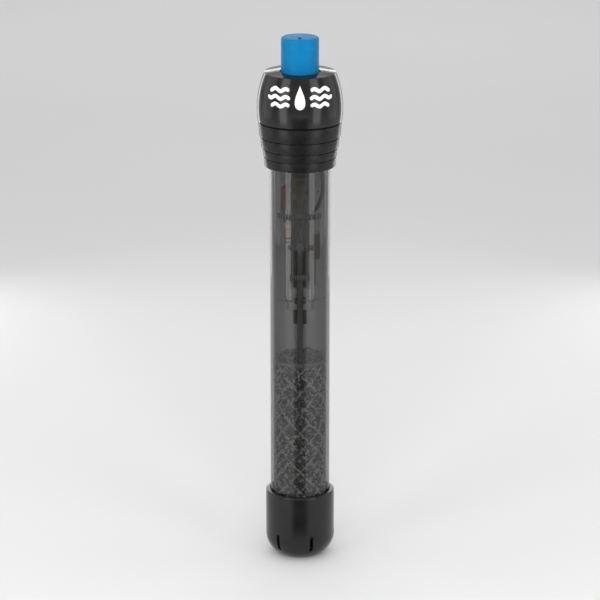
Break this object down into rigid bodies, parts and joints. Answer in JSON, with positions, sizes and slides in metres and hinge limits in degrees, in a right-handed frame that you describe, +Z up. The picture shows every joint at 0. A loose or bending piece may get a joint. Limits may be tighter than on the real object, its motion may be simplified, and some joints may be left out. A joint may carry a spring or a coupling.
{
  "type": "submersible aquarium heater",
  "caption": "Upright glass-tube aquarium heater with a black stepped head, a blue temperature knob, a sand-packed element and a vented end cap.",
  "frame": {"origin": "under the middle of the end cap, on the glass tube's axis", "axes": "+Z up the tube towards the knob; the front, with the knob's side of the head, faces -Y; +X is to the right seen from the front"},
  "size_m": [0.0314, 0.0314, 0.1984],
  "materials": {
    "knob_blue": "semi-gloss moulded plastic",
    "black_gloss": "glossy moulded plastic",
    "black_matte": "matt moulded plastic",
    "black_rubber": "matt rubber",
    "red_silicone": "satin silicone",
    "clear_silicone": "satin silicone",
    "smoked_glass": "polished smoked glass",
    "brass": "turned brass",
    "steel": "zinc-plated steel",
    "silver_contact": "silver contact",
    "dark_iron": "sintered magnet and soft iron",
    "bimetal": "rolled bimetal",
    "white_ceramic": "unglazed ceramic",
    "mica": "pressed mica",
    "quartz": "quartz grains",
    "resistance_wire": "nickel-chrome wire",
    "brown_insulation": "silicone insulation",
    "blue_insulation": "silicone insulation",
    "dark_sleeve": "woven glass-fibre sleeve",
    "lamp_glass": "neon lamp glass",
    "resistor_lacquer": "lacquered resistor",
    "capacitor_lacquer": "dipped capacitor"
  },
  "bodies": {
    "housing": {"head_shell": "black_gloss", "clamp_nut": "black_gloss", "head_core": "black_matte", "glass_seal": "black_rubber", "tube_stopper": "red_silicone", "cord_gland": "black_rubber", "spindle_bush": "brass", "glass_tube": "smoked_glass", "end_cap": "black_gloss", "end_cushion": "clear_silicone", "thermostat_bracket": "steel", "adjuster_nut": "brass", "stack_insulators": "white_ceramic", "stack_rivet": "steel", "terminal_tabs": "brass", "live_lead": "brown_insulation", "neutral_lead": "blue_insulation", "lead_sleeve": "dark_sleeve", "heater_lead": "dark_sleeve", "crimp_ferrules": "steel", "indicator_lamp": "lamp_glass", "lamp_resistor": "resistor_lacquer", "suppressor_capacitor": "capacitor_lacquer", "mica_disc": "mica", "ceramic_former": "white_ceramic", "heating_wire": "resistance_wire", "quartz_sand": "quartz"},
    "knob": {"knob": "knob_blue", "spindle": "brass", "shaft_seals": "black_rubber", "spindle_clip": "steel"},
    "adjuster": {"adjuster_screw": "brass"},
    "leaf": {"contact_leaf": "brass", "leaf_contact": "silver_contact", "magnet": "dark_iron"},
    "bimetal": {"bimetal_strip": "bimetal", "bimetal_contact": "silver_contact", "armature": "dark_iron"}
  },
  "joints": [
    {"name": "knob_turn", "type": "hinge", "parent": "housing", "child": "knob", "pos_m": [0, -0.0022, 0.191], "axis": [0, 0, 1], "range_deg": [-140, 140]},
    {"name": "screw_travel", "type": "slide", "parent": "knob", "child": "adjuster", "axis": [0, 0, 1], "range_m": [-0.00078, 0.00078]},
    {"name": "leaf_set", "type": "hinge", "parent": "housing", "child": "leaf", "pos_m": [0, -0.00075, 0.1041], "axis": [1, 0, 0], "range_deg": [-0.4, 0.4]},
    {"name": "bimetal_flex", "type": "hinge", "parent": "housing", "child": "bimetal", "pos_m": [0, 0.0024, 0.1041], "axis": [1, 0, 0], "range_deg": [-2.6, 0.2], "stiffness_Nm_per_rad": 0.05}
  ],
  "couplings": [
    {"joint": "knob_turn", "follows": "screw_travel", "rad_per_m": 3141.6},
    {"joint": "leaf_set", "follows": "screw_travel", "rad_per_m": 8.3834}
  ]
}
